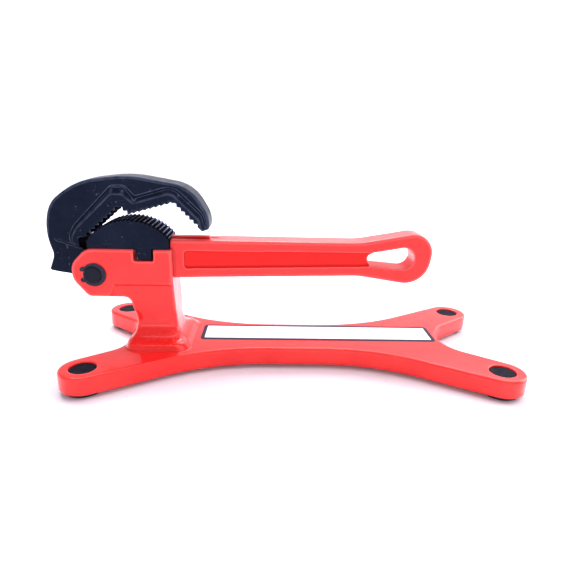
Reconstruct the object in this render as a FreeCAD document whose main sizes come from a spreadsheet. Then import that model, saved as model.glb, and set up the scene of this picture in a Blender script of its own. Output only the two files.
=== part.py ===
import FreeCAD, Part
import Sketcher
import math
import os

# Bench pipe vise: a self-adjusting pipe wrench head on a post, cast in one piece with a
# four-legged base and an I-beam handle. Millimetres. +Z is up and the rubber feet stand on Z = 0.
# X runs along the handle, jaws at -X. Y is across, and the object is symmetric about Y = 0.
# Every profile is drawn with X = 0 midway between the feet; each sub-part's Placement then moves
# it by base_shift_x, so that the document's origin is under the middle of the overall length.

DIMENSIONS = {
    "base_shift_x": 11.8,
    # rubber feet
    "foot_drop": 3.0,
    "foot_flange_radius": 16.0,
    "foot_plug_radius": 10.95,
    "foot_plug_height": 18.3,
    "foot_chamfer": 0.8,
    # base
    "foot_x": 175.0,
    "foot_y": 70.0,
    "leg_radius": 19.5,
    "foot_hole_radius": 11.1,
    "base_thickness": 16.5,
    "base_edge_radius": 2.2,
    "waist_half": 30.0,
    "waist_corner_x": 72.0,
    "waist_radius": 165.0,
    "notch_right_x": 141.0,
    "notch_right_radius": 40.0,
    "notch_left_x": 153.5,
    "notch_left_half": 29.0,
    "notch_left_radius": 22.0,
    # pad under the post
    "pad_left_x": -151.0,
    "pad_right_x": -92.0,
    "pad_half_width": 40.0,
    "pad_slope": 5.5,
    "pad_left_slope": 0.4,
    "pad_height": 5.0,
    "pad_corner_radius": 12.0,
    # post and its flare into the pad
    "post_left_x": -143.5,
    "post_right_x": -107.0,
    "post_top_left_x": -147.5,
    "post_half_width": 17.2,
    "flare_radius": 16.0,
    "flare_reach_left": 7.0,
    "flare_reach_right": 9.4,
    "flare_reach_side": 17.2,
    "flare_corner_growth": 8.8,
    "post_corner_radius": 3.0,
    # head: two ears round the pivot, and the seat of the heel jaw
    "head_half_width": 18.0,
    "head_left_x": -197.0,
    "head_right_x": -109.0,
    "head_top": 106.2,
    "head_bottom": 62.5,
    "head_edge_radius": 2.2,
    "ear_top_x": -183.5,
    "ear_bottom_x": -184.0,
    "ear_shoulder": 14.0,
    "step_left_x": -166.0,
    "step_inner_x": -160.0,
    "step_top": 74.8,
    "neck_corner_radius": 7.0,
    # pivot
    "pin_x": -178.2,
    "pin_z": 83.2,
    "pin_radius": 8.0,
    "pin_clearance": 0.06,
    "pin_half_length": 21.0,
    "pin_chamfer": 1.2,
    "ring_groove_radius": 7.2,
    "ring_thickness": 1.3,
    "ring_gap": 0.15,
    "ring_outer_radius": 10.3,
    "ring_offset": 0.9,
    "ring_opening_half": 3.2,
    "ring_lug_radius": 2.1,
    "ring_lug_hole_radius": 0.8,
    "ring_lug_x": -8.6,
    "ring_lug_z": 4.8,
    # clevis slot
    "slot_half_width": 10.0,
    "slot_radius": 19.2,
    "slot_reach": 2.0,
    "stop_slot_radius": 23.2,
    "stop_slot_angle": -95.0,
    "stop_face_angle": 11.0,
    # heel jaw and its seat
    "heel_left_x": -181.8,
    "heel_right_x": -111.4,
    "heel_half_width": 16.0,
    "heel_arc_x": -145.6,
    "heel_arc_z": 86.6,
    "heel_arc_radius": 45.6,
    "heel_tooth_angle": 4.7,
    "heel_tooth_depth": 1.6,
    "heel_tooth_count": 22,
    "heel_tooth_start": 42.6,
    "key_left_x": -138.6,
    "key_right_x": -126.8,
    "key_slant": 1.6,
    "key_bottom": 96.6,
    "keyway_left_x": -142.4,
    "keyway_right_x": -125.0,
    "keyway_floor": 95.8,
    "keyway_corner_radius": 1.2,
    # handle
    "handle_half_width": 12.0,
    "handle_top": 114.4,
    "handle_bottom_left": 79.3,
    "handle_bottom_waist": 83.6,
    "handle_waist_x": 57.0,
    "handle_waist_radius": 60.0,
    "handle_end_low_x": 100.2,
    "handle_end_low_z": 99.9,
    "handle_end_low_radius": 22.6,
    "handle_end_high_x": 105.5,
    "handle_end_high_z": 105.0,
    "handle_end_high_radius": 18.0,
    "handle_edge_radius": 2.6,
    "handle_wall_x": -111.0,
    "eye_left_x": 71.4,
    "eye_left_z": 99.3,
    "eye_left_radius": 6.6,
    "eye_right_x": 97.2,
    "eye_right_z": 100.6,
    "eye_right_radius": 10.0,
    "panel_left_x": -99.4,
    "panel_right_x": 66.0,
    "panel_bottom_left": 88.6,
    "panel_bottom_right": 93.0,
    "panel_top_left": 104.2,
    "panel_top_right": 105.6,
    "panel_corner_radius": 2.6,
    "panel_depth": 2.6,
    "rib_half_width": 3.2,
    "rib_height": 2.0,
    "rib_end_x": -78.0,
    "rib_slope": 4.5,
    # spring pin that holds the heel jaw's key
    "spring_pin_radius": 2.0,
    "spring_pin_bore": 1.1,
    "spring_pin_length": 52.4,
    "spring_pin_slit": 0.8,
    "spring_pin_x": -79.0,
    "spring_pin_z": 112.1,
    "spring_pin_tilt": 15.5,
    # hook jaw, measured from the pivot
    "web_half_width": 12.5,
    "band_half_width": 16.0,
    "shank_half_width": 9.7,
    "lobe_radius": 18.0,
    "stop_lug_radius": 22.2,
    "stop_lug_low_angle": -62.0,
    "stop_lug_face_angle": -32.0,
    "tooth_pitch": 4.9,
    "tooth_depth": 2.1,
    "tooth_valley_radius": 0.6,
    "jaw_edge_radius": 2.2,
    "relief_corner_x": -9.8,
    "relief_corner_z": 22.6,
    "relief_slant": -0.37,
    "relief_flat_x": -23.0,
    "relief_run": 3.6,
    # throat of the hook jaw, measured from the pivot
    "outer_apex_x": 71.6,
    "outer_apex_z": 63.8,
    "right_arm_angle": -45.0,
    "right_arm_teeth": 6,
    "left_arm_angle": 196.0,
    "left_arm_teeth": 8,
    "inner_apex_x": 26.2,
    "inner_apex_z": 59.9,
    "inner_arm_angle": 221.3,
    "inner_arm_teeth": 8,
    "saddle_arm_angle": -43.0,
    "saddle_arm_teeth": 2,
    # torsion spring in the hook jaw's shank
    "spring_recess_radius": 13.4,
    "spring_recess_depth": 8.0,
    "spring_coil_radius": 10.6,
    "spring_wire_radius": 1.0,
    "spring_pitch": 2.2,
    "spring_turns": 2.5,
    "spring_leg_length": 5.0,
    "spring_hole_radius": 1.25,
    # label
    "label_left_x": -87.5,
    "label_right_x": 137.0,
    "label_front_y": -11.0,
    "label_back_y": 25.0,
    "label_thickness": 0.3,
    "label_corner_radius": 4.0,
}

# Corners of the hook jaw's outline, from the pivot: (x, z, corner radius).
HOOK_CORNERS = {
    "hook_tip_inner": (93.3, 38.6, 1.0),
    "hook_tip_outer": (101.4, 40.6, 2.0),
    "hook_nose_side": (102.7, 50.6, 24.0),
    "hook_nose_shoulder": (87.0, 77.5, 33.0),
    "hook_crown": (34.0, 86.3, 100.0),
    "hook_crown_left": (-8.3, 80.8, 63.0),
    "hook_knee": (-33.6, 62.3, 28.0),
    "hook_back": (-41.0, 36.1, 54.0),
    "hook_waist": (-34.4, 16.0, 12.0),
    "hook_tail_tip": (-40.1, 1.8, 1.5),
    "hook_tail_heel": (-22.0, -1.8, 6.0),
}

# The raised, toothed band of the hook jaw, from the pivot: (x, z, corner radius). The foot is where
# the band meets the web, and the crest lies nearer the throat. Both run from the band's lower left
# end to the nose.
BAND_FOOT = {
    "band_foot_end": (-9.5, 21.5, 1.0),
    "band_foot_heel": (-19.5, 29.5, 7.0),
    "band_foot_low": (-13.5, 41.5, 14.0),
    "band_foot_inner_left": (21.0, 77.4, 5.0),
    "band_foot_inner_right": (31.0, 77.4, 5.0),
    "band_foot_saddle": (38.5, 67.8, 4.0),
    "band_foot_outer": (71.5, 77.6, 14.0),
    "band_foot_nose": (95.8, 54.5, 14.0),
    "band_foot_tip": (100.2, 40.3, 1.0),
    "band_foot_tip_inner": (91.0, 38.0, 1.0),
}
BAND_CREST = {
    "band_crest_end": (-9.0, 23.6, 1.0),
    "band_crest_heel": (-17.6, 30.2, 6.0),
    "band_crest_low": (-12.0, 40.6, 13.0),
    "band_crest_inner_left": (19.5, 70.2, 3.5),
    "band_crest_inner_right": (29.5, 70.2, 3.5),
    "band_crest_saddle": (38.5, 62.8, 3.0),
    "band_crest_outer": (70.5, 72.3, 10.0),
    "band_crest_nose": (93.4, 49.5, 10.0),
    "band_crest_tip": (96.0, 39.2, 1.0),
    "band_crest_tip_inner": (91.0, 38.0, 1.0),
}


class Size:
    """A number now, with the expression that keeps it tied to the spreadsheet."""

    def __init__(self, value, text):
        self.value = value
        self.text = text

    def joined(self, other, sign, value):
        other_text = other.text if isinstance(other, Size) else repr(float(other))
        return Size(value, "(" + self.text + " " + sign + " " + other_text + ")")

    def __add__(self, other):
        return self.joined(other, "+", self.value + number(other))

    def __sub__(self, other):
        return self.joined(other, "-", self.value - number(other))

    def __mul__(self, other):
        return self.joined(other, "*", self.value * number(other))

    def __neg__(self):
        return Size(-self.value, "(-" + self.text + ")")


def number(value):
    return value.value if isinstance(value, Size) else float(value)


doc = FreeCAD.newDocument("bench_pipe_vise")
sheet = doc.addObject("Spreadsheet::Sheet", "Dimensions")
sheet_values = {}


def write_cell(alias, value):
    row = str(len(sheet_values) + 1)
    sheet.set("A" + row, alias.replace("_", " "))
    sheet.set("B" + row, str(value))
    sheet.setAlias("B" + row, alias)
    sheet_values[alias] = float(value)


def size(alias):
    return Size(sheet_values[alias], "Dimensions." + alias)


def fill_sheet():
    for alias, value in DIMENSIONS.items():
        write_cell(alias, value)
    for table in (HOOK_CORNERS, BAND_FOOT, BAND_CREST):
        for alias, (x, z, radius) in table.items():
            write_cell(alias + "_x", x)
            write_cell(alias + "_z", z)
            write_cell(alias + "_radius", radius)
    doc.recompute()


def bind(obj, prop, value):
    obj.setExpression(prop, value.text)


# ---------------------------------------------------------------- sketches

def make_body(name):
    body = doc.addObject("PartDesign::Body", name)
    body.Label = name
    bind(body, "Placement.Base.x", size("base_shift_x"))
    return body


def attach(sketch, body, role, offset=(0.0, 0.0, 0.0), turn=0.0):
    """Attach to one of the body's own origin planes; offset and turn are in the plane's axes."""
    planes = [item for item in body.Origin.OriginFeatures if item.Role == role]
    sketch.AttachmentSupport = [(planes[0], "")]
    sketch.MapMode = "FlatFace"
    spot = FreeCAD.Vector(*[number(part) for part in offset])
    rotation = FreeCAD.Rotation(FreeCAD.Vector(0, 0, 1), number(turn))
    sketch.AttachmentOffset = FreeCAD.Placement(spot, rotation)
    for axis, part in zip("xyz", offset):
        if isinstance(part, Size):
            bind(sketch, "AttachmentOffset.Base." + axis, part)
    if isinstance(turn, Size):
        bind(sketch, "AttachmentOffset.Rotation.Angle", turn)


def new_sketch(body, name, role, offset=(0.0, 0.0, 0.0), turn=0.0):
    sketch = body.newObject("Sketcher::SketchObject", name)
    attach(sketch, body, role, offset, turn)
    return sketch


def dimension(sketch, kind, where, value):
    """Add one dimension and tie it to the spreadsheet."""
    index = sketch.addConstraint(Sketcher.Constraint(kind, *where, number(value)))
    if isinstance(value, Size):
        sketch.setExpression("Constraints[" + str(index) + "]", value.text)


def lock(sketch, geometry, point, x, y):
    dimension(sketch, "DistanceX", (-1, 1, geometry, point), x)
    dimension(sketch, "DistanceY", (-1, 1, geometry, point), y)


def corner(x, y, radius=None):
    """A corner of an outline, rounded if a radius is given."""
    return {"x": x, "y": y, "radius": radius, "centred": False}


def boss(x, y, radius, side):
    """A stretch of circle with a known centre. side is 1 where the outline turns left round it."""
    return {"x": x, "y": y, "radius": radius, "centred": True, "side": side}


def vector(x, y):
    return FreeCAD.Vector(x, y, 0)


def left_normal(direction):
    return vector(-direction.y, direction.x)


def tangent_direction(first, second):
    """Direction of the straight edge that touches both items on their proper sides."""
    between = second["spot"] - first["spot"]
    offset = second["reach"] - first["reach"]
    angle = math.atan2(between.y, between.x) - math.asin(offset / between.Length)
    return vector(math.cos(angle), math.sin(angle))


def outline(sketch, items):
    """Draw a closed outline of straight edges through the items, tangent to every round one."""
    count = len(items)
    for item in items:
        item["spot"] = vector(number(item["x"]), number(item["y"]))
        item["reach"] = item["side"] * number(item["radius"]) if item["centred"] else 0.0
    heading = [tangent_direction(items[i], items[(i + 1) % count]) for i in range(count)]
    for i, item in enumerate(items):
        arriving, leaving = heading[i - 1], heading[i]
        if item["centred"]:
            item["start"] = item["spot"] - left_normal(arriving) * item["reach"]
            item["end"] = item["spot"] - left_normal(leaving) * item["reach"]
            item["centre"] = item["spot"]
        elif item["radius"] is None:
            item["start"] = item["end"] = item["spot"]
        else:
            turn = math.atan2(arriving.cross(leaving).z, arriving.dot(leaving))
            item["side"] = 1 if turn > 0 else -1
            radius = number(item["radius"])
            trim = radius * math.tan(abs(turn) / 2)
            item["start"] = item["spot"] - arriving * trim
            item["end"] = item["spot"] + leaving * trim
            item["centre"] = item["start"] + left_normal(arriving) * (item["side"] * radius)
    lines = []
    for i, item in enumerate(items):
        segment = Part.LineSegment(item["end"], items[(i + 1) % count]["start"])
        lines.append(sketch.addGeometry(segment, False))
    for i, item in enumerate(items):
        before, after = lines[i - 1], lines[i]
        if item["radius"] is None:
            sketch.addConstraint(Sketcher.Constraint("Coincident", before, 2, after, 1))
            lock(sketch, after, 1, item["x"], item["y"])
            continue
        circle = Part.Circle(item["centre"], FreeCAD.Vector(0, 0, 1), number(item["radius"]))
        ends = [item["start"], item["end"]]
        if item["side"] < 0:
            ends.reverse()
        angles = [math.atan2((end - item["centre"]).y, (end - item["centre"]).x) for end in ends]
        arc = sketch.addGeometry(Part.ArcOfCircle(circle, angles[0], angles[1]), False)
        entry, leave = (1, 2) if item["side"] > 0 else (2, 1)
        sketch.addConstraint(Sketcher.Constraint("Tangent", before, 2, arc, entry))
        sketch.addConstraint(Sketcher.Constraint("Tangent", arc, leave, after, 1))
        dimension(sketch, "Radius", (arc,), item["radius"])
        if item["centred"]:
            lock(sketch, arc, 3, item["x"], item["y"])
        else:
            point = sketch.addGeometry(Part.Point(item["spot"]), True)
            sketch.addConstraint(Sketcher.Constraint("PointOnObject", point, 1, before))
            sketch.addConstraint(Sketcher.Constraint("PointOnObject", point, 1, after))
            lock(sketch, point, 1, item["x"], item["y"])
    return sketch


def circle(sketch, x, y, radius):
    middle = FreeCAD.Vector(number(x), number(y), 0)
    ring = sketch.addGeometry(Part.Circle(middle, FreeCAD.Vector(0, 0, 1), number(radius)), False)
    dimension(sketch, "Radius", (ring,), radius)
    lock(sketch, ring, 3, x, y)
    return sketch


def sector(sketch, x, y, radius, low, high):
    """A pie slice about (x, y), from the angle low to the angle high, in degrees."""
    middle = vector(number(x), number(y))
    angles = [math.radians(number(angle)) for angle in (low, high)]
    round_edge = Part.Circle(middle, FreeCAD.Vector(0, 0, 1), number(radius))
    arc = sketch.addGeometry(Part.ArcOfCircle(round_edge, angles[0], angles[1]), False)
    dimension(sketch, "Radius", (arc,), radius)
    lock(sketch, arc, 3, x, y)
    for arc_end, angle, turned in ((1, low, angles[0]), (2, high, angles[1])):
        rim = middle + vector(math.cos(turned), math.sin(turned)) * number(radius)
        side = sketch.addGeometry(Part.LineSegment(middle, rim), False)
        sketch.addConstraint(Sketcher.Constraint("Coincident", side, 1, arc, 3))
        sketch.addConstraint(Sketcher.Constraint("Coincident", side, 2, arc, arc_end))
        index = sketch.addConstraint(Sketcher.Constraint("Angle", side, turned))
        sketch.setExpression("Constraints[" + str(index) + "]", angle.text)
    return sketch


def rectangle_items(left, right, low, high, radius=None):
    return [corner(left, low, radius), corner(right, low, radius),
            corner(right, high, radius), corner(left, high, radius)]


# ---------------------------------------------------------------- features

def extrude(body, kind, name, sketch, length, both_sides=True, towards_normal=True):
    """A Pad or Pocket. One-sided, it goes along the sketch's normal or against it."""
    feature = body.newObject("PartDesign::" + kind, name)
    feature.Profile = sketch
    feature.Length = number(length)
    bind(feature, "Length", length)
    feature.SideType = "Symmetric" if both_sides else "One side"
    if not both_sides:
        feature.Reversed = towards_normal if kind == "Pocket" else not towards_normal
    return settle(body, feature)


def settle(body, feature):
    """Recompute, and stop if the feature failed or a cut removed nothing."""
    before = body.Shape.Volume if body.Shape and not body.Shape.isNull() else 0.0
    body.Tip = feature
    doc.recompute()
    if {"Invalid", "Error"} & set(feature.State) or not feature.isValid():
        raise RuntimeError(feature.Name + " failed: " + str(feature.State))
    after = body.Shape.Volume
    if abs(after - before) < 1e-3:
        raise RuntimeError(feature.Name + " changed nothing")
    return feature


def edges_where(shape, on_face, near):
    """Names of the edges that lie on the wanted faces and have their middle in the wanted place."""
    found = []
    for index, edge in enumerate(shape.Edges):
        first, last = edge.ParameterRange
        middle = edge.valueAt((first + last) / 2)
        if all(on_face(point) for point in (edge.valueAt(first), middle, edge.valueAt(last))):
            if near(middle):
                found.append("Edge" + str(index + 1))
    return found


def round_edges(body, name, radius, on_face, near=lambda point: True, kind="Fillet"):
    base = body.Tip
    feature = body.newObject("PartDesign::" + kind, name)
    feature.Base = (base, edges_where(base.Shape, on_face, near))
    prop = "Radius" if kind == "Fillet" else "Size"
    setattr(feature, prop, number(radius))
    bind(feature, prop, radius)
    return settle(body, feature)


def on_sides(half_width):
    """Test for a point on either side face of a part that is symmetric about Y = 0."""
    return lambda point: abs(abs(point.y) - number(half_width)) < 1e-4


def loft(body, name, sketches, ruled, kind="AdditiveLoft"):
    feature = body.newObject("PartDesign::" + kind, name)
    feature.Profile = sketches[0]
    feature.Sections = sketches[1:]
    feature.Ruled = ruled
    return settle(body, feature)


def linear_pattern(body, name, original, sketch, pitch, count):
    pattern = body.newObject("PartDesign::LinearPattern", name)
    pattern.Originals = [original]
    pattern.Direction = (sketch, ["H_Axis"])
    pattern.Mode = "Spacing"
    bind(pattern, "Offset", pitch)
    bind(pattern, "Occurrences", count)
    return settle(body, pattern)


def mirror(body, name, originals, role):
    planes = [item for item in body.Origin.OriginFeatures if item.Role == role]
    feature = body.newObject("PartDesign::Mirrored", name)
    feature.Originals = originals
    feature.MirrorPlane = (planes[0], [""])
    return settle(body, feature)


def revolve(body, kind, name, sketch, axis):
    feature = body.newObject("PartDesign::" + kind, name)
    feature.Profile = sketch
    feature.ReferenceAxis = (sketch, [axis])
    feature.Angle = 360.0
    return settle(body, feature)


# ---------------------------------------------------------------- the casting

def base_items():
    """Plan of the base, anticlockwise from the front waist: legs, waists and end notches."""
    foot_x, foot_y, leg = size("foot_x"), size("foot_y"), size("leg_radius")
    waist_x, waist, waist_radius = size("waist_corner_x"), size("waist_half"), size("waist_radius")
    notch_right = size("notch_right_radius")
    notch_left = size("notch_left_radius")
    return [
        corner(-waist_x, -waist, waist_radius),
        corner(waist_x, -waist, waist_radius),
        boss(foot_x, -foot_y, leg, 1),
        boss(size("notch_right_x") + notch_right, 0.0, notch_right, -1),
        boss(foot_x, foot_y, leg, 1),
        corner(waist_x, waist, waist_radius),
        corner(-waist_x, waist, waist_radius),
        boss(-foot_x, foot_y, leg, 1),
        corner(-size("notch_left_x"), size("notch_left_half"), notch_left),
        corner(-size("notch_left_x"), -size("notch_left_half"), notch_left),
        boss(-foot_x, -foot_y, leg, 1),
    ]


def add_base(body):
    top = size("foot_drop") + size("base_thickness")
    plan = new_sketch(body, "base_plan", "XY_Plane", (0.0, 0.0, size("foot_drop")))
    outline(plan, base_items())
    extrude(body, "Pad", "base_plate", plan, size("base_thickness"), both_sides=False)
    levels = (top.value, size("foot_drop").value)
    pad_left, pad_right = size("pad_left_x").value - 0.5, size("pad_right_x").value + 0.5
    pad_half = size("pad_half_width").value + 0.5
    round_edges(body, "base_edges", size("base_edge_radius"),
                lambda point: min(abs(point.z - level) for level in levels) < 1e-4,
                lambda point: abs(point.y) > pad_half or not pad_left < point.x < pad_right)
    holes = new_sketch(body, "foot_holes", "XY_Plane", (0.0, 0.0, size("foot_drop")))
    for side_x in (1, -1):
        for side_y in (1, -1):
            x = size("foot_x") if side_x > 0 else -size("foot_x")
            y = size("foot_y") if side_y > 0 else -size("foot_y")
            circle(holes, x, y, size("foot_hole_radius"))
    extrude(body, "Pocket", "foot_hole_cut", holes, size("base_thickness"), both_sides=False)


def add_post(body):
    """A sloped pad on the base, a flare that sweeps up from it, and the post."""
    top = size("foot_drop") + size("base_thickness")
    sections = []
    for name, height, inset in (("pad_foot", -1.0, 0.0), ("pad_crest", None, 1.0)):
        level = top + size("pad_height") if height is None else top + height
        slope = size("pad_slope") * inset
        sketch = new_sketch(body, name, "XY_Plane", (0.0, 0.0, level))
        half = size("pad_half_width") - slope
        left = size("pad_left_x") + size("pad_left_slope") * inset
        outline(sketch, rectangle_items(left, size("pad_right_x") - slope,
                                        -half, half, size("pad_corner_radius")))
        sections.append(sketch)
    loft(body, "post_pad", sections, ruled=True)
    # The flare is a quarter round: it leaves the pad's crest level and meets the post upright.
    crest = top + size("pad_height")
    sections = []
    steps = 8
    for step in range(steps + 1):
        angle = math.radians(90.0 * step / steps)
        level = crest + size("flare_radius") * (1.0 - math.cos(angle))
        share = 1.0 - math.sin(angle)
        sketch = new_sketch(body, "flare_" + str(step), "XY_Plane", (0.0, 0.0, level))
        half = size("post_half_width") + size("flare_reach_side") * share
        left = size("post_left_x") - size("flare_reach_left") * share
        right = size("post_right_x") + size("flare_reach_right") * share
        radius = size("post_corner_radius") + size("flare_corner_growth") * share
        outline(sketch, rectangle_items(left, right, -half, half, radius))
        sections.append(sketch)
    loft(body, "post_flare", sections, ruled=False)


def add_head(body):
    """The head that carries the jaws. Its lower edge stands proud of the post in a slanted step."""
    side = new_sketch(body, "head_side", "XZ_Plane")
    outline(side, [
        corner(size("step_left_x"), size("head_bottom")),
        corner(size("step_inner_x"), size("step_top"), size("keyway_corner_radius")),
        corner(size("head_right_x"), size("step_top")),
        corner(size("head_right_x"), size("head_top")),
        corner(size("ear_top_x"), size("head_top"), size("ear_shoulder")),
        corner(size("head_left_x"), size("pin_z") + 9.0, size("ear_shoulder")),
        corner(size("head_left_x"), size("pin_z") - 5.0, size("ear_shoulder")),
        corner(size("ear_bottom_x"), size("head_bottom"), size("neck_corner_radius")),
    ])
    extrude(body, "Pad", "head", side, size("head_half_width") * 2.0)
    step = size("step_left_x").value
    low = size("step_top").value
    round_edges(body, "head_edges", size("head_edge_radius"), on_sides(size("head_half_width")),
                lambda point: point.z > low + 2.0 or point.x < step - 1.0)


def add_neck(body):
    """The upper post, from the top of the flare into the head."""
    level = size("foot_drop") + size("base_thickness") + size("pad_height") + size("flare_radius")
    neck = new_sketch(body, "neck_side", "XZ_Plane")
    outline(neck, [
        corner(size("post_left_x"), level),
        corner(size("post_right_x"), level),
        corner(size("head_right_x"), size("step_top") + 2.0),
        corner(size("step_left_x"), size("step_top") + 2.0),
        corner(size("step_left_x"), size("head_bottom")),
        corner(size("post_top_left_x"), size("head_bottom"), size("neck_corner_radius")),
    ])
    extrude(body, "Pad", "neck", neck, size("post_half_width") * 2.0)


def add_handle(body):
    """I-beam handle with a round end and a tapered eye."""
    side = new_sketch(body, "handle_side", "XZ_Plane")
    waist_radius = size("handle_waist_radius")
    outline(side, [
        corner(size("handle_wall_x"), size("handle_bottom_left")),
        corner(size("handle_waist_x"), size("handle_bottom_waist"), waist_radius),
        boss(size("handle_end_low_x"), size("handle_end_low_z"), size("handle_end_low_radius"), 1),
        boss(size("handle_end_high_x"), size("handle_end_high_z"), size("handle_end_high_radius"), 1),
        corner(size("handle_waist_x"), size("handle_top"), waist_radius),
        corner(size("handle_wall_x"), size("handle_top")),
    ])
    extrude(body, "Pad", "handle", side, size("handle_half_width") * 2.0)
    start = size("head_right_x").value
    round_edges(body, "handle_edges", size("handle_edge_radius"),
                on_sides(size("handle_half_width")), lambda point: point.x > start + 1.0)
    eye = new_sketch(body, "eye_side", "XZ_Plane")
    outline(eye, [
        boss(size("eye_left_x"), size("eye_left_z"), size("eye_left_radius"), 1),
        boss(size("eye_right_x"), size("eye_right_z"), size("eye_right_radius"), 1),
    ])
    extrude(body, "Pocket", "eye", eye, size("handle_half_width") * 4.0)
    for name, face, sign in (("panel_front", size("handle_half_width"), True),
                             ("panel_back", -size("handle_half_width"), False)):
        panel = new_sketch(body, name + "_side", "XZ_Plane", (0.0, 0.0, face))
        radius = size("panel_corner_radius")
        outline(panel, [
            corner(size("panel_left_x"), size("panel_bottom_left"), radius),
            corner(size("panel_right_x"), size("panel_bottom_right")),
            corner(size("panel_right_x"), size("panel_top_right")),
            corner(size("panel_left_x"), size("panel_top_left"), radius),
        ])
        extrude(body, "Pocket", name, panel, size("panel_depth"), both_sides=False,
                towards_normal=not sign)
    rib = new_sketch(body, "rib_side", "XZ_Plane")
    outline(rib, [
        corner(size("handle_wall_x"), size("handle_top") - 1.0),
        corner(size("rib_end_x") + size("rib_slope"), size("handle_top") - 1.0),
        corner(size("rib_end_x"), size("handle_top") + size("rib_height")),
        corner(size("handle_wall_x"), size("handle_top") + size("rib_height")),
    ])
    extrude(body, "Pad", "rib", rib, size("rib_half_width") * 2.0)


def cut_head(body):
    """Clevis slot with its opening stop, the pin's bores, the heel jaw's keyway and the pin holes."""
    pin_x, pin_z = size("pin_x"), size("pin_z")
    width = size("slot_half_width") * 2.0
    slot = new_sketch(body, "slot_side", "XZ_Plane")
    outline(slot, rectangle_items(size("head_left_x") - 5.0, pin_x + size("slot_reach"),
                                  size("head_bottom") - 5.0, size("head_top") + 5.0))
    extrude(body, "Pocket", "slot", slot, width)
    lobe = new_sketch(body, "slot_lobe_side", "XZ_Plane")
    circle(lobe, pin_x, pin_z, size("slot_radius"))
    extrude(body, "Pocket", "slot_lobe", lobe, width)
    stop = new_sketch(body, "slot_stop_side", "XZ_Plane")
    sector(stop, pin_x, pin_z, size("stop_slot_radius"), size("stop_slot_angle"), size("stop_face_angle"))
    extrude(body, "Pocket", "slot_stop", stop, width)
    bore = new_sketch(body, "pin_bore_side", "XZ_Plane")
    circle(bore, pin_x, pin_z, size("pin_radius") + size("pin_clearance"))
    extrude(body, "Pocket", "pin_bore", bore, size("head_half_width") * 4.0)
    key = new_sketch(body, "keyway_side", "XZ_Plane")
    radius = size("keyway_corner_radius")
    outline(key, [
        corner(size("keyway_left_x"), size("keyway_floor"), radius),
        corner(size("keyway_right_x"), size("keyway_floor"), radius),
        corner(size("keyway_right_x"), size("head_top") + 5.0),
        corner(size("keyway_left_x"), size("head_top") + 5.0),
    ])
    extrude(body, "Pocket", "keyway", key, size("head_half_width") * 4.0)
    leg = new_sketch(body, "spring_leg_side", "XZ_Plane", (0.0, 0.0, size("slot_half_width") - 1.0))
    circle(leg, pin_x - size("spring_coil_radius"), pin_z, size("spring_hole_radius"))
    extrude(body, "Pocket", "spring_leg_hole", leg, size("spring_leg_length") + 1.0,
            both_sides=False, towards_normal=True)
    hole = new_sketch(body, "spring_pin_hole_side", "XZ_Plane",
                      (size("spring_pin_x"), size("spring_pin_z"), 0.0), size("spring_pin_tilt"))
    outline(hole, rectangle_items(-size("spring_pin_length"), 16.0, 0.0, size("spring_pin_radius")))
    revolve(body, "Groove", "spring_pin_hole", hole, "H_Axis")


def make_vise_body():
    body = make_body("vise_body")
    add_head(body)
    add_handle(body)
    add_neck(body)
    cut_head(body)
    add_post(body)
    add_base(body)


# ---------------------------------------------------------------- the jaws

def from_pivot(name):
    return corner(size("pin_x") + size(name + "_x"), size("pin_z") + size(name + "_z"),
                  size(name + "_radius"))


def add_blank(body):
    """The hook's whole side, as thick as its web, with round outer edges."""
    side = new_sketch(body, "blank_side", "XZ_Plane")
    pin_x, pin_z = size("pin_x"), size("pin_z")
    items = [from_pivot(name) for name in HOOK_CORNERS]
    items.append(boss(pin_x, pin_z, size("lobe_radius"), 1))
    items.append(corner(pin_x + size("relief_corner_x"), pin_z + size("relief_corner_z")))
    outline(side, items)
    extrude(body, "Pad", "blank", side, size("web_half_width") * 2.0)
    crown, left, right = pin_z.value + 45.0, pin_x.value - 30.0, pin_x.value + 95.0
    round_edges(body, "blank_edges", size("jaw_edge_radius"), on_sides(size("web_half_width")),
                lambda point: point.z > crown or not left < point.x < right)


def add_band(body):
    """The raised band on both sides of the web, with a sloped outer edge."""
    made = []
    for name, table, level in (("band_foot", BAND_FOOT, size("web_half_width") - 0.5),
                               ("band_crest", BAND_CREST, size("band_half_width"))):
        sketch = new_sketch(body, name, "XZ_Plane", (0.0, 0.0, level))
        outline(sketch, [from_pivot(item) for item in reversed(table)])
        made.append(sketch)
    band = loft(body, "band", made, ruled=True)
    mirror(body, "band_back", [band], "XZ_Plane")


def relieve_shank(body):
    """Thin the shank to fit between the ears. The relief runs out to nothing at the hook's back."""
    pin_x, pin_z = size("pin_x"), size("pin_z")
    corner_x, corner_z = size("relief_corner_x"), size("relief_corner_z")
    proud = size("web_half_width") - size("shank_half_width") + size("band_half_width")
    made = []
    for name, level, run in (("relief_floor", size("shank_half_width"), 0.0),
                             ("relief_mouth", proud, 1.0)):
        left = size("relief_flat_x") - (proud - size("shank_half_width")) * size("relief_run") * run
        sketch = new_sketch(body, name, "XZ_Plane", (0.0, 0.0, level))
        outline(sketch, [
            corner(pin_x + left, pin_z - 30.0),
            corner(pin_x + 30.0, pin_z - 30.0),
            corner(pin_x + 30.0, pin_z + corner_z),
            corner(pin_x + corner_x, pin_z + corner_z),
            corner(pin_x + left, pin_z + corner_z + (left - corner_x) * size("relief_slant")),
        ])
        made.append(sketch)
    relief = loft(body, "relief", made, ruled=True, kind="SubtractiveLoft")
    mirror(body, "relief_back", [relief], "XZ_Plane")


def add_stop_lug(body):
    """A lug on the lobe that meets the end of the slot when the jaw is fully open."""
    lug = new_sketch(body, "stop_lug_side", "XZ_Plane")
    sector(lug, size("pin_x"), size("pin_z"), size("stop_lug_radius"),
           size("stop_lug_low_angle"), size("stop_lug_face_angle"))
    extrude(body, "Pad", "stop_lug", lug, size("shank_half_width") * 2.0)


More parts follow.
